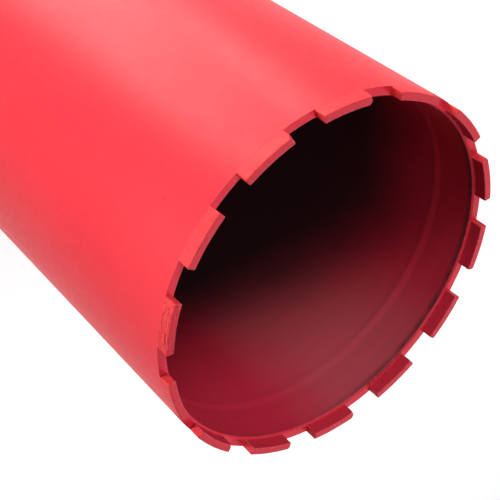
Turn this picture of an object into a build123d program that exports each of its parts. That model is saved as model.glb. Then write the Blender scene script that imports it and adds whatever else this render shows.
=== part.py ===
from build123d import *
import os
from math import degrees

# A wet diamond core bit for drilling 178 mm (7 in) holes in concrete.
# It stands on the end face of its hub, with the open cutting end upwards.
# Origin: centre of the hub's end face. +Z runs along the axis, towards the cutting end.
# Lengths are in millimetres.

# Barrel: a length of standard steel tube, bored true for a short way behind the cutting rim
tube_diameter = 177.8
tube_wall = 5.0
mouth_bore_depth = 21.5         # from the rim down to where the trued bore starts to run out
mouth_bore_cut = 0.4            # how much the trued bore is opened up, on the radius
run_out_length = 3.5            # the short cone from the trued bore to the tube's own bore
rim_chamfer = 0.9               # inside corner of the rim
tail_chamfer = 1.0              # outside corner of the far end

# Segments: sintered blocks on the rim, spaced evenly, the first one on +X
segment_count = 14
segment_length = 24.0           # along the rim, at the middle of the block's thickness
segment_thickness = 3.6
segment_height = 6.6            # above the rim
segment_rounding = 0.4          # edges of the cutting face and of the two ends

# Back plate: a disc welded into the tube's far end, a little way in
drilling_depth = 400.0          # from the plate's inner face to the tips of the segments
plate_thickness = 10.0
plate_recess = 5.0              # from the tube's far end to the plate's outer face
plate_clearance = 0.1           # on the radius, between the disc and the tube's bore
plate_edge_chamfer = 1.0

# Hub: a turned socket with a 1-1/4 in - 7 UNC thread, welded to the middle of the plate
hub_diameter = 55.0
hub_length = 45.0               # from its end face to the plate
hub_edge_chamfer = 1.0
spigot_diameter = 38.0          # the neck that centres the hub in the plate
spigot_clearance = 0.1          # on the radius
flats_width = 50.0              # across the two spanner flats
flats_length = 18.0
flats_start = 14.0              # from the end face
thread_minor_diameter = 27.9
thread_major_diameter = 31.75
thread_depth = 42.0             # from the end face to the bottom of the thread
water_bore_diameter = 20.0      # carries the flushing water on into the barrel

# Welds
plate_weld_leg = 4.0
hub_weld_leg = 5.0
weld_crown = 0.5                # how far each bead's face bulges

# Sizes and heights that follow
tube_radius = tube_diameter / 2
bore_radius = tube_radius - tube_wall
mouth_radius = bore_radius + mouth_bore_cut
hub_radius = hub_diameter / 2
spigot_radius = spigot_diameter / 2
minor_radius = thread_minor_diameter / 2
major_radius = thread_major_diameter / 2
water_radius = water_bore_diameter / 2
mouth_countersink = major_radius - minor_radius

plate_bottom = hub_length
plate_top = plate_bottom + plate_thickness
barrel_bottom = plate_bottom - plate_recess
rim_height = plate_top + drilling_depth - segment_height
run_out_top = rim_height - mouth_bore_depth
run_out_bottom = run_out_top - run_out_length

os.makedirs("parts", exist_ok=True)


def fillet_weld_profile(corner_radius, corner_height, outwards, leg):
    """Section of a weld bead that fills the corner under the plate, on the XZ plane.

    outwards is 1 where the bead lies outside corner_radius and -1 where it lies inside.
    """
    corner = (corner_radius, corner_height)
    on_plate = (corner_radius + outwards * leg, corner_height)
    on_wall = (corner_radius, corner_height - leg)
    bulge = leg / 2 + weld_crown / 2 ** 0.5
    crown = (corner_radius + outwards * bulge, corner_height - bulge)
    with BuildSketch(Plane.XZ) as section:
        with BuildLine():
            Line(on_wall, corner)
            Line(corner, on_plate)
            ThreePointArc(on_plate, crown, on_wall)
        make_face()
    return section.sketch


# Barrel: outside plain, inside opened up at the mouth, with the rim's inner corner broken
with BuildPart() as barrel:
    with BuildSketch(Plane.XZ):
        with BuildLine():
            Polyline(
                (bore_radius, barrel_bottom),
                (tube_radius - tail_chamfer, barrel_bottom),
                (tube_radius, barrel_bottom + tail_chamfer),
                (tube_radius, rim_height),
                (mouth_radius + rim_chamfer, rim_height),
                (mouth_radius, rim_height - rim_chamfer),
                (mouth_radius, run_out_top),
                (bore_radius, run_out_bottom),
                close=True,
            )
        make_face()
    revolve(axis=Axis.Z)
barrel.part.label = "barrel"
export_step(barrel.part, "parts/barrel.step")


# Back plate: a disc with the hub's hole through it
with BuildPart() as back_plate:
    with BuildSketch(Plane.XY.offset(plate_bottom)):
        Circle(bore_radius - plate_clearance)
        Circle(spigot_radius + spigot_clearance, mode=Mode.SUBTRACT)
    extrude(amount=plate_thickness)
    chamfer(back_plate.edges().group_by(Axis.Z)[-1].sort_by(SortBy.RADIUS)[-1], length=plate_edge_chamfer)
back_plate.part.label = "back_plate"
export_step(back_plate.part, "parts/back_plate.step")


# Hub: body and spigot turned in one, thread bored at its minor diameter, two spanner flats
with BuildPart() as hub:
    with BuildSketch(Plane.XZ):
        with BuildLine():
            Polyline(
                (major_radius, 0),
                (hub_radius - hub_edge_chamfer, 0),
                (hub_radius, hub_edge_chamfer),
                (hub_radius, plate_bottom),
                (spigot_radius, plate_bottom),
                (spigot_radius, plate_top),
                (water_radius, plate_top),
                (water_radius, thread_depth),
                (minor_radius, thread_depth),
                (minor_radius, mouth_countersink),
                close=True,
            )
        make_face()
    revolve(axis=Axis.Z)
    # the flats leave only what lies between them, over their own length
    with BuildSketch(Plane.XY.offset(flats_start)):
        Circle(hub_diameter)
        Rectangle(2 * hub_diameter, flats_width, mode=Mode.SUBTRACT)
    extrude(amount=flats_length, mode=Mode.SUBTRACT)
hub.part.label = "hub"
export_step(hub.part, "parts/hub.step")


# Weld that holds the plate in the barrel, run round the corner on the outer side of the plate
with BuildPart() as plate_weld:
    add(fillet_weld_profile(bore_radius, plate_bottom, -1, plate_weld_leg))
    revolve(axis=Axis.Z)
plate_weld.part.label = "plate_weld"
export_step(plate_weld.part, "parts/plate_weld.step")


# Weld that holds the hub on the plate
with BuildPart() as hub_weld:
    add(fillet_weld_profile(hub_radius, plate_bottom, 1, hub_weld_leg))
    revolve(axis=Axis.Z)
hub_weld.part.label = "hub_weld"
export_step(hub_weld.part, "parts/hub_weld.step")


# Segments: curved blocks, flush with the outside of the tube
segment_outer_radius = tube_radius
segment_inner_radius = segment_outer_radius - segment_thickness
segment_middle_radius = (segment_outer_radius + segment_inner_radius) / 2
segment_angle = degrees(segment_length / segment_middle_radius)
segment_pitch = 360 / segment_count

for number in range(segment_count):
    seat = Plane.XY.offset(rim_height).rotated((0, 0, number * segment_pitch))
    with BuildPart() as segment:
        with BuildSketch(seat):
            with BuildLine():
                outer = CenterArc((0, 0), segment_outer_radius, -segment_angle / 2, segment_angle)
                inner = CenterArc((0, 0), segment_inner_radius, -segment_angle / 2, segment_angle)
                Line(outer @ 0, inner @ 0)
                Line(outer @ 1, inner @ 1)
            make_face()
        extrude(amount=segment_height)
        upright_edges = segment.edges().filter_by(Axis.Z)
        tip_edges = segment.edges().group_by(Axis.Z)[-1]
        fillet(upright_edges + tip_edges, radius=segment_rounding)
    name = f"segment_{number + 1:02d}"
    segment.part.label = name
    export_step(segment.part, f"parts/{name}.step")
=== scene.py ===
from math import atan2, cos, pi, radians, sin, sqrt

import bmesh
import bpy
from mathutils import Matrix, Quaternion, Vector, noise


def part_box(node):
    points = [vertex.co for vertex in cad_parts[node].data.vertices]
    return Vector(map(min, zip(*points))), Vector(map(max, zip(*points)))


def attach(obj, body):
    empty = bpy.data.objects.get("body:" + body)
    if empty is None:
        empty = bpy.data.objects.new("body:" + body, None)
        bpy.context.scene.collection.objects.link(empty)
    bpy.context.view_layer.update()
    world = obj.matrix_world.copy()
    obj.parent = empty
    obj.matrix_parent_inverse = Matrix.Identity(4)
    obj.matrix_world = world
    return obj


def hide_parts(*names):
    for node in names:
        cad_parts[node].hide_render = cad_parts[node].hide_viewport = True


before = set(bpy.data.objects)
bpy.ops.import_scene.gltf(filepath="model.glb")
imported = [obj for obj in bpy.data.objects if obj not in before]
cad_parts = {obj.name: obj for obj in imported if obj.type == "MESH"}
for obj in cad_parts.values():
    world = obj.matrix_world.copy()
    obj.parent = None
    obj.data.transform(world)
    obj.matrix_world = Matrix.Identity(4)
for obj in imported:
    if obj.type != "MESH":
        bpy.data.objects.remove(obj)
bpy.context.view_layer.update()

# ---------------------------------------------------------------------------
# Barrel. A length of seamless steel tube, sprayed red inside and out. The bore is
# turned true behind the cutting rim and runs out in a shallow cone, and the rim's
# inside corner is chamfered on the lathe.
# ---------------------------------------------------------------------------
mm = 0.001
box_clearance = 0.001 * mm
barrel_low, barrel_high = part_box("barrel")
tube_radius = barrel_high.x - box_clearance
rim_height = barrel_high.z
tail_height = barrel_low.z
tube_wall = 5.0 * mm
trued_cut = 0.4 * mm
trued_depth = 21.5 * mm
run_out_length = 3.5 * mm
rim_chamfer = 0.9 * mm
tail_chamfer = 1.0 * mm
score_depths = (14.2 * mm, 18.3 * mm)
score_width = 0.5 * mm
score_cut = 0.05 * mm
lip_width = 0.6 * mm
lip_cut = 0.12 * mm
barrel_rounding = 0.1 * mm
barrel_steps = 360
# a corner's worn band is this many times as wide as its rounding, and the wear at the rim
# and the tail reaches this many times as far as the chamfer there
worn_band = 3
handled_reach = 1.5

bore_radius = tube_radius - tube_wall
trued_radius = bore_radius + trued_cut
run_out_top = rim_height - trued_depth
run_out_bottom = run_out_top - run_out_length


def outline(bm, points):
    """A closed outline of edges through (radius, height) points, as its corners."""
    corners = [bm.verts.new((radius, 0, height)) for radius, height in points]
    for first, second in zip(corners, corners[1:] + corners[:1]):
        bm.edges.new((first, second))
    return corners


def spun(bm, steps):
    """The outline in a mesh carried once round the Z axis."""
    bmesh.ops.spin(bm, geom=bm.verts[:] + bm.edges[:], cent=(0, 0, 0), axis=(0, 0, 1),
                   dvec=(0, 0, 0), angle=2 * pi, steps=steps, use_merge=True)


def turned(points, rounding, steps):
    """A closed section of (radius, height) points with its corners rounded, spun into a solid."""
    bm = bmesh.new()
    wear = bm.verts.layers.float.new("wear")
    corners = outline(bm, points)
    bmesh.ops.bevel(bm, geom=corners, offset=rounding, offset_type="OFFSET", segments=3,
                    profile=0.5, affect="VERTICES", material=-1)
    for vert in bm.verts:
        vert[wear] = 1.0
    # a loop beside each corner keeps the broad faces flat and the worn edge narrow
    band = worn_band * rounding
    for edge in [edge for edge in bm.edges if edge.calc_length() > 4 * band]:
        near = bmesh.utils.edge_split(edge, edge.verts[0], band / edge.calc_length())[1]
        near[wear] = 0.0
        longer = max(near.link_edges, key=lambda side: side.calc_length())
        near = bmesh.utils.edge_split(longer, near, 1 - band / longer.calc_length())[1]
        near[wear] = 0.0
    spun(bm, steps)
    bmesh.ops.recalc_face_normals(bm, faces=bm.faces[:])
    return bm


def piece_from(bm, name, material, paint_slot, *nodes, sharp_angle=40):
    """The finished mesh as a smooth piece that rides on the tool and stands for its CAD nodes."""
    mesh = bpy.data.meshes.new(name)
    bm.to_mesh(mesh)
    bm.free()
    mesh.shade_smooth()
    mesh.set_sharp_from_angle(angle=radians(sharp_angle))
    mesh.materials.append(material)
    piece = bpy.data.objects.new(name, mesh)
    bpy.context.scene.collection.objects.link(piece)
    even = piece.modifiers.new("even_shading", "WEIGHTED_NORMAL")
    even.keep_sharp = True
    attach(piece, "root")
    if nodes:
        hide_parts(*nodes)


def node(tree, kind, values=None, **options):
    """A shader node with its options, and numbers, colours or other sockets on its inputs."""
    made = tree.nodes.new("ShaderNode" + kind)
    for option, setting in options.items():
        setattr(made, option, setting)
    for socket, value in (values or {}).items():
        if isinstance(value, bpy.types.NodeSocket):
            tree.links.new(value, made.inputs[socket])
        else:
            made.inputs[socket].default_value = value
    return made


def sums(tree, operation, first, second=0.0, clamp=False):
    """The result of one piece of arithmetic on numbers or sockets."""
    return node(tree, "Math", {0: first, 1: second}, operation=operation, use_clamp=clamp).outputs[0]


def between(tree, value, low, high, to_low=0.0, to_high=1.0):
    """A value carried smoothly from one range to another."""
    ranges = {"Value": value, "From Min": low, "From Max": high, "To Min": to_low, "To Max": to_high}
    return node(tree, "MapRange", ranges, interpolation_type="SMOOTHSTEP").outputs[0]


def banded(tree, value, rise, fall):
    """1 between a rise and a later fall of a value, and 0 outside them."""
    return sums(tree, "MULTIPLY", between(tree, value, *rise), between(tree, value, *fall, 1.0, 0.0))


def blended(tree, share, first, second):
    """Two colours mixed by a share."""
    return node(tree, "Mix", {0: share, 6: first, 7: second}, data_type="RGBA").outputs[2]


def clouded(tree, place, scale, detail):
    """Soft noise from 0 to 1, with its scale in repeats to the metre."""
    return node(tree, "TexNoise", {"Vector": place, "Scale": scale, "Detail": detail}).outputs[0]


def spotted(tree, place, scale, fade, rarity, strength):
    """Small round spots, one in each cell of a scatter whose draw is above a rarity."""
    cells = node(tree, "TexVoronoi", {"Vector": place, "Scale": scale})
    spot = between(tree, cells.outputs["Distance"], *fade, strength, 0.0)
    draw = node(tree, "SeparateColor", {0: cells.outputs["Color"]}).outputs[0]
    return sums(tree, "MULTIPLY", spot, sums(tree, "GREATER_THAN", draw, rarity))


def from_axis(tree, place):
    """How far out from the tool's axis a place lies."""
    flat = node(tree, "VectorMath", {0: place, 1: (1, 1, 0)}, operation="MULTIPLY").outputs[0]
    return node(tree, "VectorMath", {0: flat}, operation="LENGTH").outputs["Value"]


def toward(tree, place, side):
    """How far a place lies toward one side, given as an angle round the tool's axis."""
    way = (cos(side), sin(side), 0)
    return node(tree, "VectorMath", {0: place, 1: way}, operation="DOT_PRODUCT").outputs["Value"]


def raised(tree, height, depth, strength, over=None):
    """Relief of a depth from a height, laid over another relief if one is given."""
    values = {"Height": height, "Strength": strength, "Distance": depth}
    if over is not None:
        values["Normal"] = over
    return node(tree, "Bump", values).outputs[0]


def effect(name, takes, gives):
    """An empty node group with named inputs and outputs: tree, input sockets, output node."""
    tree = bpy.data.node_groups.new(name, "ShaderNodeTree")
    for label, kind in takes.items():
        tree.interface.new_socket(name=label, in_out="INPUT", socket_type="NodeSocket" + kind)
    for label, kind in gives.items():
        tree.interface.new_socket(name=label, in_out="OUTPUT", socket_type="NodeSocket" + kind)
    entry = tree.nodes.new("NodeGroupInput")
    return tree, entry.outputs, tree.nodes.new("NodeGroupOutput")


def led_to(tree, last_node, sockets):
    """Sockets led to the named inputs of a tree's last node."""
    for label, socket in sockets.items():
        tree.links.new(socket, last_node.inputs[label])


def placed(tree, group, values):
    """A node group put into a material, with its own values."""
    return node(tree, "Group", values, node_tree=group).outputs


def finish_material(name, gloss):
    """A material with an empty tree: material, tree, and the Principled shader that it ends in."""
    material = bpy.data.materials.new(name)
    material.use_nodes = True
    tree = material.node_tree
    tree.nodes.clear()
    shader = tree.nodes.new("ShaderNodeBsdfPrincipled")
    shader.inputs["Specular IOR Level"].default_value = gloss
    node(tree, "OutputMaterial", {0: shader.outputs[0]})
    return material, tree, shader


# Sprayed paint: broad drifts in tone, fine orange peel, and a few nibs of dust under the coat
drift_scale = 14.0
drift_share = 0.7
mottle_scale = 260.0
mottle_share = 0.3
mottle_fade = (0.3, 0.7)
tone_fade = (0.34, 0.66)
peel_scale = 620.0
peel_share = 0.5
nib_scale = 70.0
nib_fade = (0.02, 0.05)
nib_rarity = 0.86
sheen_swing = 0.03
sprayed, given, out = effect("sprayed_paint",
                             {"Place": "Vector", "Paint": "Color", "Shade": "Color", "Sheen": "Float"},
                             {"Colour": "Color", "Roughness": "Float", "Height": "Float"})
drift = clouded(sprayed, given["Place"], drift_scale, 3.0)
mottle = clouded(sprayed, given["Place"], mottle_scale, 4.0)
peel = clouded(sprayed, given["Place"], peel_scale, 2.0)
nib = spotted(sprayed, given["Place"], nib_scale, nib_fade, nib_rarity, 1.0)
broad = sums(sprayed, "MULTIPLY", drift, drift_share)
tone = sums(sprayed, "ADD", broad, sums(sprayed, "MULTIPLY", mottle, mottle_share))
coat_colour = blended(sprayed, between(sprayed, tone, *tone_fade), given["Paint"], given["Shade"])
patchy = between(sprayed, mottle, *mottle_fade, -sheen_swing, sheen_swing)
coat_roughness = sums(sprayed, "ADD", given["Sheen"], patchy)
coat_height = sums(sprayed, "ADD", sums(sprayed, "MULTIPLY", peel, peel_share), nib)
led_to(sprayed, out, {"Colour": coat_colour, "Roughness": coat_roughness, "Height": coat_height})

# Worn edges: where the wear attribute is high the coat is thin, broken up by noise
ragged_scale = 420.0
ragged_fade = (0.35, 0.62)
wear_fade = (0.25, 0.95)
worn, given, out = effect("worn_edges", {"Place": "Vector", "Wear": "Float", "Amount": "Float"},
                          {"Mask": "Float"})
breaks = between(worn, clouded(worn, given["Place"], ragged_scale, 4.0), *ragged_fade)
rubbed = sums(worn, "MULTIPLY", between(worn, given["Wear"], *wear_fade), breaks)
led_to(worn, out, {"Mask": sums(worn, "MULTIPLY", rubbed, given["Amount"], clamp=True)})

# Turning marks: fine grooves at one pitch along a height or a radius, uneven like a real feed
stray_scale = 90.0
turning, given, out = effect("turning_marks", {"Place": "Vector", "Along": "Float", "Pitch": "Float"},
                             {"Height": "Float"})
stray = clouded(turning, given["Place"], stray_scale, 2.0)
turns = sums(turning, "DIVIDE", given["Along"], given["Pitch"])
wave = sums(turning, "SINE", sums(turning, "MULTIPLY", turns, 2 * pi))
led_to(turning, out, {"Height": sums(turning, "MULTIPLY", wave, stray)})


def rubbed_edges(tree, place, amount):
    """The worn edges of a piece, from the wear attribute on its mesh."""
    wear_here = node(tree, "Attribute", attribute_name="wear").outputs["Fac"]
    return placed(tree, worn, {"Place": place, "Wear": wear_here, "Amount": amount})["Mask"]


red_paint = (0.84, 0.035, 0.052, 1)
red_shade = (0.80, 0.029, 0.046, 1)
# thinned coat on worn edges, painted paler also as an edge highlight
thin_paint_edge_highlight = (0.82, 0.11, 0.14, 1)
inside_paint = (0.75, 0.033, 0.076, 1)
# overspray dust, and a painted sheen on the side of the bore facing the front lamps
overspray_and_sheen = (0.68, 0.100, 0.130, 1)
# a dark tone for the bore's depths, the lathe's rings and the painted shade
dark_tone = (0.060, 0.022, 0.028, 1)
# painted shade colour for the band under the rim
under_rim_shade = (0.14, 0.038, 0.042, 1)
# a brighter red painted as a highlight on the run-out cone
cone_highlight_red = (0.95, 0.060, 0.115, 1)
# a brighter red painted as a highlight on the rim's face, and a pale pink painted as a highlight along
# edges
rim_highlight_red = (0.95, 0.032, 0.066, 1)
pale_edge_highlight = (0.92, 0.22, 0.28, 1)
speck_tint = (0.16, 0.020, 0.024, 1)
satin = 0.42
satin_gloss = 0.085
inside_roughness = 0.10
peel_depth = 0.3 * mm

# a side is an angle round the axis, and a pair says where a change starts and where it ends
wall_fade = (bore_radius + 1.2 * mm, bore_radius + 2.4 * mm)
mouth_fade = (0.4 * rim_chamfer, 1.1 * rim_chamfer)
tail_fade = (tail_height + 6 * mm, tail_height + 16 * mm)
darkening_depths = (33 * mm, 95 * mm)
late_darkening_side = radians(45)
late_darkening_reach = 50 * mm
cloud_scale = 22.0
cloud_reach = 30 * mm
overspray_sheen_side = radians(74)
overspray_sheen_fade = (0.78 * bore_radius, 1.02 * bore_radius)
dust_sheen_patch_fade = (0.2, 0.6)
dust_sheen_patch_range = (0.45, 1.0)
rim_fade = (0.6 * rim_chamfer, 1.2 * rim_chamfer)
outer_edge_fade = (tube_radius - 0.3 * mm, tube_radius - 0.1 * mm)
edge_highlight_fade = (0.08 * mm, 0.26 * mm)
edge_highlight_share = 0.14
speck_scale = 26.0
speck_fade = (0.010, 0.018)
speck_rarity = 0.4
speck_share = 0.7
ring_pitch = 8.0 * mm
ring_fade = (0.3, 0.7)
ring_share = 0.08
# the side of the bore that gets painted shade
shaded_side = radians(138)
shaded_side_fade = (0.2 * bore_radius, 0.95 * bore_radius)
shaded_side_share = 0.15
cone_top = rim_height - run_out_top
cone_bottom = rim_height - run_out_bottom
cone_rise = (cone_top - 1.5 * mm, cone_top + 0.5 * mm)
cone_fall = (cone_bottom - 0.5 * mm, cone_bottom + 0.4 * mm)
cone_highlight_share = 0.14
behind_rise = (cone_bottom - 0.2 * mm, cone_bottom + 0.6 * mm)
behind_fall = (cone_bottom + 0.8 * mm, cone_bottom + 3.0 * mm)
shade_behind_share = 0.16
# how plainly the cone's painted highlight and the painted shade behind it show on most of the bore, and
# how much plainer on the side with painted shade
cone_plain = 0.3
cone_plainer = 0.9
under_rim_shade_side = radians(132)
under_rim_shade_fade = (0.0, 0.95 * bore_radius)
under_rim_shade_range = (0.15, 0.8)
under_rim_shade_rise = (0.5 * mm, 1.3 * mm)
under_rim_shade_fall = (1.9 * mm, 4.6 * mm)
shade_breakup_scale = 110.0
shade_breakup_fade = (0.3, 0.62)
shade_breakup_range = (0.55, 1.15)

barrel_paint, tree, shader = finish_material("barrel_red", satin_gloss)
place = node(tree, "TexCoord").outputs["Object"]
coat = placed(tree, sprayed, {"Place": place, "Paint": red_paint, "Shade": red_shade, "Sheen": satin})
upward = node(tree, "SeparateXYZ", {0: place}).outputs["Z"]
under_rim = sums(tree, "SUBTRACT", rim_height, upward)
out_from_axis = from_axis(tree, place)
clouds = clouded(tree, place, cloud_scale, 3.0)
inside = between(tree, out_from_axis, *wall_fade, 1.0, 0.0)
inside = sums(tree, "MULTIPLY", inside, between(tree, under_rim, *mouth_fade))
inside = sums(tree, "MULTIPLY", inside, between(tree, upward, *tail_fade))
# the bore darkens with depth, starting further down on one side, with a wavering edge
depth = sums(tree, "ADD", under_rim, sums(tree, "MULTIPLY", clouds, cloud_reach))
toward_late_darkening = sums(tree, "DIVIDE", toward(tree, place, late_darkening_side), bore_radius)
toward_late_darkening = sums(tree, "POWER", sums(tree, "MAXIMUM", toward_late_darkening, 0.0), 2.0)
depth = sums(tree, "SUBTRACT", depth, sums(tree, "MULTIPLY", toward_late_darkening, late_darkening_reach))
darker_with_depth = sums(tree, "MULTIPLY", between(tree, depth, *darkening_depths), inside)
# a dusty drift of overspray lies along one side of the bore, painted pale also as a sheen where that
# side faces the front lamps
dust_and_sheen = between(tree, toward(tree, place, overspray_sheen_side), *overspray_sheen_fade)
dust_and_sheen = sums(tree, "MULTIPLY", dust_and_sheen, inside)
dust_and_sheen = sums(tree, "MULTIPLY", dust_and_sheen, between(tree, clouds, *dust_sheen_patch_fade, *dust_sheen_patch_range))
# the rim's flat face is painted a brighter red as a highlight where it faces up, with a pale painted
# highlight line where it meets the chamfer
on_rim = between(tree, under_rim, *rim_fade, 1.0, 0.0)
on_rim = sums(tree, "MULTIPLY", on_rim, between(tree, out_from_axis, *outer_edge_fade, 1.0, 0.0))
colour = blended(tree, on_rim, coat["Colour"], rim_highlight_red)
from_edge = sums(tree, "SUBTRACT", out_from_axis, trued_radius + rim_chamfer)
from_edge = sums(tree, "ABSOLUTE", from_edge)
edge_highlight = between(tree, from_edge, *edge_highlight_fade, edge_highlight_share, 0.0)
colour = blended(tree, sums(tree, "MULTIPLY", on_rim, edge_highlight), colour, pale_edge_highlight)
# a few specks of dirt dried into the coat outside
speck = spotted(tree, place, speck_scale, speck_fade, speck_rarity, speck_share)
colour = blended(tree, speck, colour, speck_tint)
colour = blended(tree, inside, colour, inside_paint)
colour = blended(tree, dust_and_sheen, colour, overspray_and_sheen)
# the lathe's feed leaves soft rings in the tone
ring_place = node(tree, "CombineXYZ", {2: sums(tree, "DIVIDE", under_rim, ring_pitch)}).outputs[0]
ring_tone = between(tree, clouded(tree, ring_place, 1.0, 2.0), *ring_fade, 0.0, ring_share)
colour = blended(tree, sums(tree, "MULTIPLY", ring_tone, inside), colour, dark_tone)
# one side of the bore is darkened with painted shade, and the cone behind the trued bore stands out
# more there, with a painted highlight on the cone and a band of painted shade behind it
bare_and_shaded = between(tree, toward(tree, place, shaded_side), *shaded_side_fade)
bare_and_shaded = sums(tree, "MULTIPLY", bare_and_shaded, inside)
colour = blended(tree, sums(tree, "MULTIPLY", bare_and_shaded, shaded_side_share), colour, dark_tone)
plain = sums(tree, "ADD", cone_plain, sums(tree, "MULTIPLY", bare_and_shaded, cone_plainer))
plain = sums(tree, "MULTIPLY", plain, inside)
cone_highlight = sums(tree, "MULTIPLY", banded(tree, under_rim, cone_rise, cone_fall), cone_highlight_share)
colour = blended(tree, sums(tree, "MULTIPLY", cone_highlight, plain), colour, cone_highlight_red)
shade_behind_cone = sums(tree, "MULTIPLY", banded(tree, under_rim, behind_rise, behind_fall), shade_behind_share)
colour = blended(tree, sums(tree, "MULTIPLY", shade_behind_cone, plain), colour, dark_tone)
# the bore darkens with depth
colour = blended(tree, darker_with_depth, colour, dark_tone)
# a narrow ring under the rim is darkened with painted shade, the bore's dark reflection below the
# chamfer, most on one side
shade_breakup = between(tree, clouded(tree, place, shade_breakup_scale, 3.0), *shade_breakup_fade, *shade_breakup_range)
shaded_under_rim = between(tree, toward(tree, place, under_rim_shade_side), *under_rim_shade_fade, *under_rim_shade_range)
shaded_under_rim = sums(tree, "MULTIPLY", shaded_under_rim, banded(tree, under_rim, under_rim_shade_rise, under_rim_shade_fall))
shaded_under_rim = sums(tree, "MULTIPLY", sums(tree, "MULTIPLY", shaded_under_rim, shade_breakup), inside)
colour = blended(tree, shaded_under_rim, colour, under_rim_shade)
# worn rim and tail edges: thinned coat, painted paler also as an edge highlight
colour = blended(tree, rubbed_edges(tree, place, amount=0.3), colour, thin_paint_edge_highlight)
rough = sums(tree, "ADD", coat["Roughness"], sums(tree, "MULTIPLY", inside, inside_roughness))
relief = raised(tree, coat["Height"], peel_depth, strength=0.12)
led_to(tree, shader, {"Base Color": colour, "Roughness": rough, "Normal": relief})

section = [(bore_radius, tail_height), (tube_radius - tail_chamfer, tail_height),
           (tube_radius, tail_height + tail_chamfer), (tube_radius, rim_height),
           (trued_radius + rim_chamfer, rim_height), (trued_radius, rim_height - rim_chamfer)]
for depth in score_depths:
    section.append((trued_radius, rim_height - depth + score_width / 2))
    section.append((trued_radius + score_cut, rim_height - depth))
    section.append((trued_radius, rim_height - depth - score_width / 2))
section += [(trued_radius, run_out_top), (bore_radius, run_out_bottom),
            (bore_radius + lip_cut, run_out_bottom - lip_width / 2),
            (bore_radius, run_out_bottom - lip_width)]
bm = turned(section, barrel_rounding, barrel_steps)
# only the rim and the tail are handled enough to wear
wear = bm.verts.layers.float["wear"]
for vert in bm.verts:
    beside_rim = rim_height - vert.co.z < handled_reach * rim_chamfer
    beside_tail = vert.co.z - tail_height < handled_reach * tail_chamfer
    if not beside_rim and not beside_tail:
        vert[wear] = 0.0
piece_from(bm, "barrel_tube", barrel_paint, "barrel_paint", "barrel")

# ---------------------------------------------------------------------------
# Segments. Fourteen sintered blocks of diamond grit in metal powder, laser welded on
# the rim and sprayed with the barrel. Pressing leaves pits and layers in them, and
# handling has chipped corners.
# ---------------------------------------------------------------------------
segment_count = 14
segment_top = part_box("segment_01")[1].z
segment_height = segment_top - rim_height
segment_thickness = 3.6 * mm
segment_length = 24.0 * mm
segment_rounding = 0.45 * mm
segment_middle_radius = tube_radius - segment_thickness / 2
grid = 0.36 * mm
pit_spacing = 1.7 * mm
pit_depth = 0.10 * mm
pit_width = 0.34
pit_rarity = 0.55
pit_tone = 0.12
layer_spacing = 0.9 * mm
layer_depth = 0.03 * mm
layer_stretch = 0.12
layer_sharpness = 4
layer_tone = 0.14
heavy_layer_depth = 0.26 * mm
heavily_layered = 13
root_fade = 0.8 * mm
worn_reach = 0.8 * mm
outer_wear = 0.55
chip_noise = 0.10 * mm
chip_noise_scale = 900
chip_slant = (0.5, 0.7, 0.6)
chip_wear = 0.8
# segment: (end, side, size), an end of 1 is the anticlockwise one and a side of 1 the outside
chips = {1: [(1, -1, 1.0)], 2: [(1, 1, 0.7)], 3: [(1, 1, 1.1), (1, -1, 1.1)], 4: [(1, -1, 0.8)],
         5: [(-1, 1, 0.7)], 6: [(-1, 1, 0.8), (-1, -1, 0.5)], 7: [(-1, -1, 0.5), (1, 1, 0.5)],
         8: [(1, -1, 0.7)], 9: [(-1, -1, 0.6)], 10: [(-1, 1, 1.3), (-1, -1, 1.2)], 11: [(-1, 1, 1.5)],
         12: [(-1, 1, 0.7)], 13: [(1, 1, 0.6)], 14: [(-1, -1, 0.5), (1, 1, 0.8)]}
# two roots get a painted shadow at their clockwise end, this high above the rim
root_shadow_height = {14: 0.5 * mm, 1: 0.7 * mm}
root_shadow_length = 0.1 * mm
dark_shadow_amount = 0.9

# Pressed grit: open grains of diamond and small voids that the coat doesn't fill
grain_scale = 1500.0
grain_share = 0.6
void_scale = 800.0
void_fade = (0.58, 0.68)
grit, given, out = effect("pressed_grit", {"Place": "Vector"}, {"Voids": "Float", "Height": "Float"})
grains = node(grit, "TexVoronoi", {"Vector": given["Place"], "Scale": grain_scale}, feature="SMOOTH_F1")
voids = between(grit, clouded(grit, given["Place"], void_scale, 5.0), *void_fade)
grain_height = sums(grit, "MULTIPLY", grains.outputs["Distance"], grain_share)
led_to(grit, out, {"Voids": voids, "Height": sums(grit, "SUBTRACT", grain_height, voids)})

segment_coat = (0.84, 0.052, 0.060, 1)
segment_shade = (0.79, 0.042, 0.052, 1)
segment_inside = (0.80, 0.036, 0.072, 1)
# a brighter red painted as a highlight on the segments' upward tips
tip_highlight_red = (0.92, 0.055, 0.082, 1)
void_colour = (0.30, 0.020, 0.030, 1)
void_share = 0.5
# dark colour for painted shade in pits, grooves and root crevices, and under the weld spill
shade_and_scorch_colour = (0.16, 0.014, 0.020, 1)
segment_sheen = satin + 0.06
grit_depth = 0.2 * mm
inner_face = tube_radius - segment_thickness
inner_face_fade = (inner_face + 0.1 * mm, inner_face + 0.5 * mm)
tip_fade = (0.15 * mm, 0.45 * mm)

segment_paint, tree, shader = finish_material("segment_red", satin_gloss)
place = node(tree, "TexCoord").outputs["Object"]
coat = placed(tree, sprayed, {"Place": place, "Paint": segment_coat, "Shade": segment_shade,
                              "Sheen": segment_sheen})
pressed = placed(tree, grit, {"Place": place})
upward = node(tree, "SeparateXYZ", {0: place}).outputs["Z"]
inside = between(tree, from_axis(tree, place), *inner_face_fade, 1.0, 0.0)
colour = blended(tree, inside, coat["Colour"], segment_inside)
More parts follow.
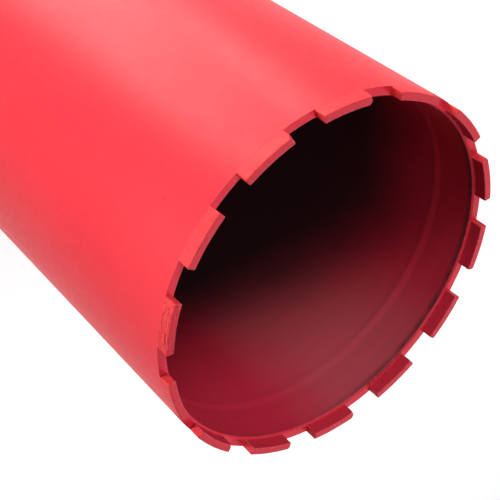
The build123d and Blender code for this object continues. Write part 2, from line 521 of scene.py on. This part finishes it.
# the tip's upward face is painted a brighter red as a highlight
at_tip = between(tree, sums(tree, "SUBTRACT", segment_top, upward), *tip_fade, 1.0, 0.0)
colour = blended(tree, at_tip, colour, tip_highlight_red)
colour = blended(tree, sums(tree, "MULTIPLY", pressed["Voids"], void_share), colour, void_colour)
shade_and_scorch_here = node(tree, "Attribute", attribute_name="shade_and_scorch").outputs["Fac"]
# painted shade and shadow in pits, layer grooves, root crevices and under the weld spill
colour = blended(tree, shade_and_scorch_here, colour, shade_and_scorch_colour)
# worn and chipped edges: thinned coat, painted pale pink also as an edge highlight
colour = blended(tree, rubbed_edges(tree, place, amount=0.7), colour, pale_edge_highlight)
peel_relief = raised(tree, coat["Height"], peel_depth, strength=0.2)
relief = raised(tree, pressed["Height"], grit_depth, strength=0.35, over=peel_relief)
led_to(tree, shader, {"Base Color": colour, "Roughness": coat["Roughness"], "Normal": relief})


def cut_along(bm, axis, longer_than, size):
    """Divides every edge that runs along an axis and is longer than a length."""
    edges = []
    for edge in bm.edges:
        run = edge.verts[1].co - edge.verts[0].co
        if abs(run[axis]) > longer_than:
            edges.append(edge)
    span = max(abs(edge.verts[1].co[axis] - edge.verts[0].co[axis]) for edge in edges)
    bmesh.ops.subdivide_edges(bm, edges=edges, cuts=round(span / size), use_grid_fill=True)


def pressed_depths(spot, number):
    """How far shallow pits, and grooves between the layers, lie below the die's face."""
    # the block's number carries its noise well away from the other blocks'
    drawn = spot / pit_spacing + Vector((31.7 * number, 0, 0))
    near, places = noise.voronoi(drawn)
    keep = noise.cell(places[0])
    pit = pit_depth * max(0.0, 1.0 - near[0] / pit_width) if keep > pit_rarity else 0.0
    amount = heavy_layer_depth if number == heavily_layered else layer_depth
    along = Vector((spot.x / layer_spacing, layer_stretch * spot.y / layer_spacing,
                    spot.z / layer_spacing))
    layer = 1.0 - abs(noise.noise(along + Vector((0, 17.3 * number, 0)))) * layer_sharpness
    return pit, amount * max(0.0, layer)


for number in range(1, segment_count + 1):
    bm = bmesh.new()
    wear = bm.verts.layers.float.new("wear")
    shade_and_scorch = bm.verts.layers.float.new("shade_and_scorch")
    bmesh.ops.create_cube(bm, size=1)
    bmesh.ops.scale(bm, verts=bm.verts[:], vec=(segment_thickness, segment_length, segment_height))
    bmesh.ops.translate(bm, verts=bm.verts[:], vec=(0, 0, segment_height / 2))
    upper = [edge for edge in bm.edges if max(vert.co.z for vert in edge.verts) > segment_height / 2]
    bmesh.ops.bevel(bm, geom=upper, offset=segment_rounding, offset_type="OFFSET", segments=3,
                    profile=0.5, affect="EDGES", material=-1, clamp_overlap=True)
    for axis, longer_than in ((1, 10 * mm), (2, 3 * mm), (0, 1.5 * mm)):
        cut_along(bm, axis, longer_than, grid)
    bmesh.ops.recalc_face_normals(bm, faces=bm.faces[:])
    bm.normal_update()
    for vert in bm.verts:
        to_side = segment_thickness / 2 - abs(vert.co.x)
        to_end = segment_length / 2 - abs(vert.co.y)
        to_tip = segment_height - vert.co.z
        near = sorted((to_side, to_end, to_tip))
        side_wear = 1.0 if vert.co.x < 0 else outer_wear
        vert[wear] = max(0.0, 1.0 - (near[0] + near[1]) / worn_reach) * side_wear
        above_root = min(1.0, vert.co.z / root_fade)
        pit, groove = pressed_depths(vert.co, number)
        # pits and layer grooves are darkened with painted shade
        shadow = pit_tone * pit / pit_depth + layer_tone * groove / heavy_layer_depth
        vert[shade_and_scorch] = above_root * shadow
        vert.co -= vert.normal * (pit + groove) * above_root
    for end, side, size in chips[number]:
        corner = Vector((side * segment_thickness / 2, end * segment_length / 2, segment_height))
        outward = Vector((side * chip_slant[0], end * chip_slant[1], chip_slant[2])).normalized()
        for vert in bm.verts:
            inside = outward.dot(corner - vert.co)
            drawn = vert.co * chip_noise_scale + Vector((0, 0, 9.1 * number))
            ragged = noise.noise(drawn) * chip_noise
            if inside < size * mm + ragged:
                vert.co -= outward * (size * mm + ragged - inside)
                vert[wear] = chip_wear
    # painted shadow in the root crevice at two blocks' clockwise end
    for vert in bm.verts:
        from_start = vert.co.y + segment_length / 2
        if from_start < root_shadow_length and vert.co.z < root_shadow_height.get(number, 0.0):
            vert[shade_and_scorch] = dark_shadow_amount
    turn = 2 * pi * (number - 1) / segment_count
    for vert in bm.verts:
        angle = turn + vert.co.y / segment_middle_radius
        radius = segment_middle_radius + vert.co.x
        vert.co = (radius * cos(angle), radius * sin(angle), rim_height + vert.co.z)
    node_name = f"segment_{number:02d}"
    piece_from(bm, node_name + "_block", segment_paint, "segment_paint", node_name)

# ---------------------------------------------------------------------------
# Weld lines under the segments. The laser leaves a thin uneven bead along each root on
# the inside of the rim. Under one block it ran over and stands out as a ridge.
# ---------------------------------------------------------------------------
line_radius = 0.2 * mm
line_sides = 8
line_steps = 72
line_end_gap = 0.2 * mm
# how thick the line is beside its radius, and how much it swells slowly and in fine lumps
line_body = 0.75
slow_swell = 0.5
fine_swell = 0.35
line_end = 0.15
line_taper = 2.5
line_ring_radius = trued_radius + rim_chamfer + 0.03 * mm
spilled_under = 4
spilled_radius = 0.55 * mm
spilled_ring_radius = trued_radius + 0.40 * mm
spilled_drop = 0.35 * mm
# the spill ends in a thicker blob past this share of its half, darkened with painted shadow like its
# underside, which carries painted shade
blob_share = 0.93
blob_swell = 1.5
underside_shade = 0.75
face_burnt = 0.22

for number in range(1, segment_count + 1):
    spilled = number == spilled_under
    ring = spilled_ring_radius if spilled else line_ring_radius
    thick = spilled_radius if spilled else line_radius
    height = rim_height - spilled_drop if spilled else rim_height
    half = 0.5 * segment_length / segment_middle_radius - line_end_gap / ring
    turn = 2 * pi * (number - 1) / segment_count
    bm = bmesh.new()
    shade_and_scorch = bm.verts.layers.float.new("shade_and_scorch")
    bmesh.ops.create_circle(bm, segments=line_sides, radius=thick, cap_ends=True)
    upright = Matrix.Rotation(pi / 2, 4, "X")
    to_start = Matrix.Rotation(turn - half, 4, "Z") @ Matrix.Translation((ring, 0, height)) @ upright
    bmesh.ops.transform(bm, matrix=to_start, verts=bm.verts[:])
    bmesh.ops.spin(bm, geom=bm.faces[:], cent=(0, 0, 0), axis=(0, 0, 1), dvec=(0, 0, 0),
                   angle=2 * half, steps=line_steps)
    for vert in bm.verts:
        angle = atan2(vert.co.y, vert.co.x)
        beside = (angle - turn + pi) % (2 * pi) - pi
        centre = Vector((ring * cos(angle), ring * sin(angle), height))
        swell = line_body + slow_swell * noise.noise(Vector((angle * 60, number * 3.3, 0)))
        swell += fine_swell * noise.noise(Vector((angle * 240, number * 5.1, 4)))
        taper = min(1.0, sqrt(max(0.0, 1 - (beside / half) ** 2)) * line_taper + line_end)
        if spilled and beside > blob_share * half:
            taper *= blob_swell
            vert[shade_and_scorch] = dark_shadow_amount
        elif spilled:
            vert[shade_and_scorch] = underside_shade if vert.co.z < height - 0.2 * thick else face_burnt
        vert.co = centre + (vert.co - centre) * swell * taper
    bmesh.ops.recalc_face_normals(bm, faces=bm.faces[:])
    piece_from(bm, f"segment_{number:02d}_weld_line", segment_paint, "weld_paint")

# ---------------------------------------------------------------------------
# Back plate. A turned steel disc that closes the far end of the barrel and carries the
# hub. The facing tool's rings still show through the paint.
# ---------------------------------------------------------------------------
plate_low, plate_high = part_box("back_plate")
plate_radius = plate_high.x
plate_bottom = plate_low.z
plate_top = plate_high.z
plate_hole_radius = 19.1 * mm
plate_edge_chamfer = 1.0 * mm
plate_rounding = 0.25 * mm
plate_steps = 240
plate_sheen = satin + 0.03
facing_pitch = 0.9 * mm
facing_depth = 0.12 * mm

plate_paint, tree, shader = finish_material("plate_red", satin_gloss)
place = node(tree, "TexCoord").outputs["Object"]
coat = placed(tree, sprayed, {"Place": place, "Paint": red_paint, "Shade": red_shade,
                              "Sheen": plate_sheen})
rings = placed(tree, turning, {"Place": place, "Along": from_axis(tree, place), "Pitch": facing_pitch})
# worn edges: thinned coat, painted paler also as an edge highlight
colour = blended(tree, rubbed_edges(tree, place, amount=0.5), coat["Colour"], thin_paint_edge_highlight)
peel_relief = raised(tree, coat["Height"], peel_depth, strength=0.15)
relief = raised(tree, rings["Height"], facing_depth, strength=0.3, over=peel_relief)
led_to(tree, shader, {"Base Color": colour, "Roughness": coat["Roughness"], "Normal": relief})

section = [(plate_hole_radius, plate_bottom), (plate_radius, plate_bottom),
           (plate_radius, plate_top - plate_edge_chamfer),
           (plate_radius - plate_edge_chamfer, plate_top), (plate_hole_radius, plate_top)]
bm = turned(section, plate_rounding, plate_steps)
piece_from(bm, "back_plate_disc", plate_paint, "plate_paint", "back_plate")

# ---------------------------------------------------------------------------
# Hub. A turned steel socket with a coarse inside thread for the drill's spindle, a neck
# that centres it in the plate, and two milled spanner flats. The thread is bare steel.
# ---------------------------------------------------------------------------
hub_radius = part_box("hub")[1].x
hub_edge_chamfer = 1.0 * mm
hub_rounding = 0.25 * mm
hub_steps = 192
spigot_radius = 19.0 * mm
water_bore_radius = 10.0 * mm
flats_half_width = 25.0 * mm
flats_start = 14.0 * mm
flats_end = 32.0 * mm
flats_rounding = 0.4 * mm
thread_minor_radius = 13.95 * mm
thread_major_radius = 15.875 * mm
thread_pitch = 3.629 * mm
thread_depth = 42.0 * mm
thread_mouth = 0.9 * mm
thread_mouth_reach = 3.0 * mm
thread_start = 0.2 * mm
thread_root_overlap = 0.1 * mm
thread_half_crest = 0.45 * mm
thread_half_root = 1.58 * mm
thread_turn_steps = 64
same_place = 1e-6
cut_snap = 1e-7

steel = (0.42, 0.41, 0.40, 1)
steel_roughness = 0.32
steel_metallic = 0.95
rubbed_bareness = 0.6
masking_scale = 300.0
masking_wander = 1.6 * mm
bore_fade = (thread_major_radius + 1.2 * mm, thread_major_radius + 1.7 * mm)
floor_fade = (thread_depth - 0.5 * mm, thread_depth)
turning_pitch = 0.6 * mm
turning_depth = 0.1 * mm

hub_paint, tree, shader = finish_material("hub_red", satin_gloss)
place = node(tree, "TexCoord").outputs["Object"]
coat = placed(tree, sprayed, {"Place": place, "Paint": red_paint, "Shade": red_shade, "Sheen": satin})
upward = node(tree, "SeparateXYZ", {0: place}).outputs["Z"]
# the socket was plugged while the tool was sprayed, and the plug's edge let paint in unevenly
wander = sums(tree, "MULTIPLY", clouded(tree, place, masking_scale, 3.0), masking_wander)
plug_edge = sums(tree, "ADD", from_axis(tree, place), wander)
bare_and_shaded = between(tree, plug_edge, *bore_fade, 1.0, 0.0)
bare_and_shaded = sums(tree, "MULTIPLY", bare_and_shaded, between(tree, upward, *floor_fade, 1.0, 0.0))
rubbed = sums(tree, "MULTIPLY", rubbed_edges(tree, place, amount=0.9), rubbed_bareness)
bare_and_shaded = sums(tree, "MAXIMUM", bare_and_shaded, rubbed)
marks = placed(tree, turning, {"Place": place, "Along": upward, "Pitch": turning_pitch})
peel_relief = raised(tree, coat["Height"], peel_depth, strength=0.15)
relief = raised(tree, marks["Height"], turning_depth, strength=0.25, over=peel_relief)
led_to(tree, shader, {"Base Color": blended(tree, bare_and_shaded, coat["Colour"], steel),
                      "Metallic": sums(tree, "MULTIPLY", bare_and_shaded, steel_metallic),
                      "Roughness": between(tree, bare_and_shaded, 0.0, 1.0, satin, steel_roughness),
                      "Normal": relief})

section = [(thread_major_radius + thread_mouth, 0), (hub_radius - hub_edge_chamfer, 0),
           (hub_radius, hub_edge_chamfer), (hub_radius, plate_bottom), (spigot_radius, plate_bottom),
           (spigot_radius, plate_top), (water_bore_radius, plate_top),
           (water_bore_radius, thread_depth), (thread_major_radius, thread_depth),
           (thread_major_radius, thread_mouth)]
bm = turned(section, hub_rounding, hub_steps)
wear = bm.verts.layers.float["wear"]
for point, way in (((0, 0, flats_start), (0, 0, 1)), ((0, 0, flats_end), (0, 0, 1)),
                   ((0, flats_half_width, 0), (0, 1, 0)), ((0, -flats_half_width, 0), (0, -1, 0))):
    bmesh.ops.bisect_plane(bm, geom=bm.verts[:] + bm.edges[:] + bm.faces[:], dist=cut_snap,
                           plane_co=point, plane_no=way)
milled = []
for face in bm.faces:
    middle = face.calc_center_median()
    if flats_start < middle.z < flats_end and abs(middle.y) > flats_half_width:
        milled.append(face)
bmesh.ops.delete(bm, geom=milled, context="FACES")
for side in (1, -1):
    rim = [edge for edge in bm.edges if edge.is_boundary and edge.verts[0].co.y * side > 0]
    shoulder_edges = []
    for height in (flats_start, flats_end):
        ends = []
        for vert in {vert for edge in rim for vert in edge.verts}:
            on_flat = abs(vert.co.y - side * flats_half_width) < same_place
            if on_flat and abs(vert.co.z - height) < same_place:
                ends.append(vert)
        chord = bm.edges.new(ends)
        arc = [edge for edge in rim if all(abs(vert.co.z - height) < same_place for vert in edge.verts)]
        bmesh.ops.edgeloop_fill(bm, edges=arc + [chord])
        shoulder_edges += arc
        rim.append(chord)
    upright = [edge for edge in rim if edge not in shoulder_edges]
    bmesh.ops.edgeloop_fill(bm, edges=upright)
    broken = bmesh.ops.bevel(bm, geom=shoulder_edges, offset=flats_rounding, offset_type="OFFSET",
                             segments=2, profile=0.5, affect="EDGES", material=-1, clamp_overlap=True)
    for vert in broken["verts"]:
        vert[wear] = 1.0
bmesh.ops.recalc_face_normals(bm, faces=bm.faces[:])
piece_from(bm, "hub_socket", hub_paint, "hub_paint", "hub", sharp_angle=20)

thread_turns = (thread_depth - 2 * thread_half_root - 2 * thread_start) / thread_pitch
thread_steps = round(thread_turns * thread_turn_steps)
thread_root_radius = thread_major_radius + thread_root_overlap
bm = bmesh.new()
ridge = []
for radius, height in ((thread_root_radius, -thread_half_root),
                       (thread_minor_radius, -thread_half_crest),
                       (thread_minor_radius, thread_half_crest),
                       (thread_root_radius, thread_half_root)):
    ridge.append(bm.verts.new((radius, 0, thread_half_root + thread_start + height)))
profile = bm.faces.new(ridge)
bmesh.ops.spin(bm, geom=[profile], cent=(0, 0, 0), axis=(0, 0, 1),
               dvec=(0, 0, thread_turns * thread_pitch / thread_steps), angle=2 * pi * thread_turns,
               steps=thread_steps)
# the mouth's chamfer cuts the first turn back
for vert in bm.verts:
    radius = vert.co.xy.length
    mouth_radius = thread_major_radius + thread_mouth - vert.co.z
    if radius < mouth_radius and vert.co.z < thread_mouth_reach:
        vert.co.xy *= min(mouth_radius, thread_root_radius) / radius
bmesh.ops.recalc_face_normals(bm, faces=bm.faces[:])
piece_from(bm, "hub_thread", hub_paint, "hub_paint", sharp_angle=20)

# ---------------------------------------------------------------------------
# Welds. One bead joins the plate to the barrel and one joins the hub to the plate, both
# laid in the corners on the outside, with the ripples of a bead laid by hand.
# ---------------------------------------------------------------------------
plate_weld_leg = 4.0 * mm
hub_weld_leg = 5.0 * mm
bead_points = 9
bead_crown = 0.3 * mm
bead_wander = 0.5 * mm
wander_scale = 30
wander_lift = 0.3
ripple_pitch = 2.3 * mm
ripple_steps = 7
ripple_height = 0.22 * mm
ripple_bend = 0.55
ripple_jitter = 0.3
jitter_scale = 9
ripple_sharpness = 0.7
ripple_slant = 0.7
weld_sheen = satin + 0.05
weld_grain_depth = 0.4 * mm

weld_paint, tree, shader = finish_material("weld_red", satin_gloss)
place = node(tree, "TexCoord").outputs["Object"]
coat = placed(tree, sprayed, {"Place": place, "Paint": red_paint, "Shade": red_shade,
                              "Sheen": weld_sheen})
# worn ripple crests: thinned coat, painted paler also as an edge highlight
colour = blended(tree, rubbed_edges(tree, place, amount=0.35), coat["Colour"], thin_paint_edge_highlight)
relief = raised(tree, coat["Height"], weld_grain_depth, strength=0.3)
led_to(tree, shader, {"Base Color": colour, "Roughness": coat["Roughness"], "Normal": relief})


def weld_bead(name, corner_radius, outwards, leg, node_name):
    """A rippled bead in the corner under the plate, outwards or inwards of a wall's radius."""
    bm = bmesh.new()
    wear = bm.verts.layers.float.new("wear")
    points = [(corner_radius, plate_bottom)]
    for step in range(bead_points):
        share = step / (bead_points - 1)
        bulge = bead_crown * sin(pi * share) / sqrt(2)
        points.append((corner_radius + outwards * (leg * (1 - share) + bulge),
                       plate_bottom - leg * share - bulge))
    outline(bm, points)
    ripples = round(2 * pi * corner_radius / ripple_pitch)
    spun(bm, ripples * ripple_steps)
    for vert in bm.verts:
        in_radius = outwards * (vert.co.xy.length - corner_radius)
        in_height = plate_bottom - vert.co.z
        if in_radius < same_place and in_height < same_place:
            continue
        across = in_height / (in_radius + in_height)
        angle = atan2(vert.co.y, vert.co.x)
        bend = ripple_bend * (2 * across - 1) ** 2
        # the leg's length in millimetres keeps the two beads' noise apart
        leg_mm = leg * 1000
        drawn = Vector((cos(angle) * jitter_scale, sin(angle) * jitter_scale, leg_mm))
        jitter = ripple_jitter * noise.noise(drawn)
        phase = angle / (2 * pi) * ripples + bend + jitter
        crest = (0.5 + 0.5 * cos(2 * pi * phase)) ** ripple_sharpness
        fade = sin(pi * min(1.0, max(0.0, across)))
        drawn = Vector((cos(angle) * wander_scale, sin(angle) * wander_scale, 7 + leg_mm))
        wide = bead_wander * noise.noise(drawn)
        lift = ripple_height * (crest - 0.5) * fade ** 0.5 + wander_lift * wide * fade
        reach = 1 + wide * (1 - fade) / leg
        radius = corner_radius + outwards * (in_radius * reach + lift * ripple_slant)
        drop = in_height * reach + lift * ripple_slant
        vert.co = (radius * cos(angle), radius * sin(angle), plate_bottom - max(0.0, drop))
        vert[wear] = crest * fade
    bmesh.ops.recalc_face_normals(bm, faces=bm.faces[:])
    piece_from(bm, name, weld_paint, "weld_paint", node_name, sharp_angle=70)


weld_bead("plate_weld_bead", bore_radius, -1, plate_weld_leg, "plate_weld")
weld_bead("hub_weld_bead", hub_radius, 1, hub_weld_leg, "hub_weld")

# ---------------------------------------------------------------------------
# Studio. A plain pale floor and a white surround. Soft lamps hang round the tool, two in
# front and one behind, and two panels and six warm strips lie face up on the floor to
# light the barrel's outside.
# ---------------------------------------------------------------------------
floor_half_width = 4.0
floor_white = (0.8, 0.8, 0.8, 1)
floor_roughness = 0.9
floor_gloss = 0.1
floor_glow = 0.73
surround_white = (1, 1, 1, 1)
surround_light = 0.06
neutral = (1, 1, 1)
warm = (1.0, 0.96, 0.88)
rim_aim = 0.43
off_floor = 4 * mm


def seen_rays(tree):
    """1 for the camera, glossy and transmission rays that see plain white, and 0 for the rest."""
    rays = node(tree, "LightPath")
    seen = sums(tree, "ADD", rays.outputs["Is Camera Ray"], rays.outputs["Is Glossy Ray"], clamp=True)
    return sums(tree, "ADD", seen, rays.outputs["Is Transmission Ray"], clamp=True)


floor_paint, tree, shader = finish_material("floor_white", floor_gloss)
shader.inputs["Base Color"].default_value = floor_white
shader.inputs["Roughness"].default_value = floor_roughness
glow_strength = sums(tree, "MULTIPLY", seen_rays(tree), floor_glow)
glow = node(tree, "Emission", {"Color": surround_white, "Strength": glow_strength})
both = node(tree, "AddShader", {0: shader.outputs[0], 1: glow.outputs[0]})
tree.links.new(both.outputs[0], tree.nodes["Material Output"].inputs[0])
bm = bmesh.new()
bmesh.ops.create_grid(bm, x_segments=4, y_segments=4, size=floor_half_width)
mesh = bpy.data.meshes.new("floor")
bm.to_mesh(mesh)
bm.free()
mesh.materials.append(floor_paint)
ground = bpy.data.objects.new("floor", mesh)
bpy.context.scene.collection.objects.link(ground)

world = bpy.data.worlds.new("studio")
bpy.context.scene.world = world
world.use_nodes = True
tree = world.node_tree
tree.nodes.clear()
shown = node(tree, "Background", {"Color": surround_white, "Strength": 1.0})
lit = node(tree, "Background", {"Color": surround_white, "Strength": surround_light})
mix = node(tree, "MixShader", {0: seen_rays(tree), 1: lit.outputs[0], 2: shown.outputs[0]})
node(tree, "OutputWorld", {0: mix.outputs[0]})


def softbox(name, azimuth, reach, height, width, length, watts, aim=None, tint=neutral):
    """A soft rectangular lamp round the tool, aimed at a height on its axis or lying face up."""
    lamp = bpy.data.lights.new(name, "AREA")
    lamp.shape = "RECTANGLE"
    lamp.size = width
    lamp.size_y = length
    lamp.energy = watts
    lamp.color = tint
    light = bpy.data.objects.new(name, lamp)
    bpy.context.scene.collection.objects.link(light)
    light.location = (reach * cos(radians(azimuth)), reach * sin(radians(azimuth)), height)
    if aim is None:
        light.rotation_euler = (pi, 0, radians(azimuth))
    else:
        light.rotation_mode = "QUATERNION"
        light.rotation_quaternion = (Vector((0, 0, aim)) - light.location).to_track_quat("-Z", "Y")
    light.visible_camera = False


# name, azimuth in degrees, reach, height, width and length in metres, power in watts
softbox("key", -130, 1.39, 0.99, 0.45, 0.45, 7.2, aim=rim_aim)
softbox("upper", -110, 0.63, 1.79, 0.40, 0.40, 4.9, aim=rim_aim)
softbox("back", 90, 1.06, 1.49, 0.70, 0.70, 7.2, aim=rim_aim)
softbox("panel_side", -56, 0.95, off_floor, 0.40, 0.40, 13.4)
softbox("panel_right", -22, 0.95, off_floor, 0.40, 0.40, 3.2)
softbox("strip_left", -152, 0.50, off_floor, 0.22, 0.11, 1.7, tint=warm)
softbox("strip_middle", -128, 0.50, off_floor, 0.22, 0.11, 1.0, tint=warm)
softbox("strip_right", -112, 0.50, off_floor, 0.22, 0.11, 2.2, tint=warm)
softbox("strip_left_near", -144, 0.26, off_floor, 0.26, 0.06, 0.55, tint=warm)
softbox("strip_middle_near", -128, 0.26, off_floor, 0.26, 0.06, 0.30, tint=warm)
softbox("strip_right_near", -112, 0.26, off_floor, 0.26, 0.06, 0.40, tint=warm)

camera_place = Vector((0.002522, -0.395889, 0.734550))
camera_aim = Vector((0.011892, -0.054517, 0.448400))
camera_roll = radians(129.58)
camera_lens = 81.28
camera_sensor = 36.0
lens = bpy.data.cameras.new("camera")
lens.lens = camera_lens
lens.sensor_width = camera_sensor
camera = bpy.data.objects.new("camera", lens)
bpy.context.scene.collection.objects.link(camera)
facing = (camera_aim - camera_place).to_track_quat("-Z", "Y")
camera.rotation_mode = "QUATERNION"
camera.rotation_quaternion = facing @ Quaternion((0, 0, 1), camera_roll)
camera.location = camera_place
bpy.context.scene.camera = camera
bpy.context.scene.view_settings.view_transform = "Standard"
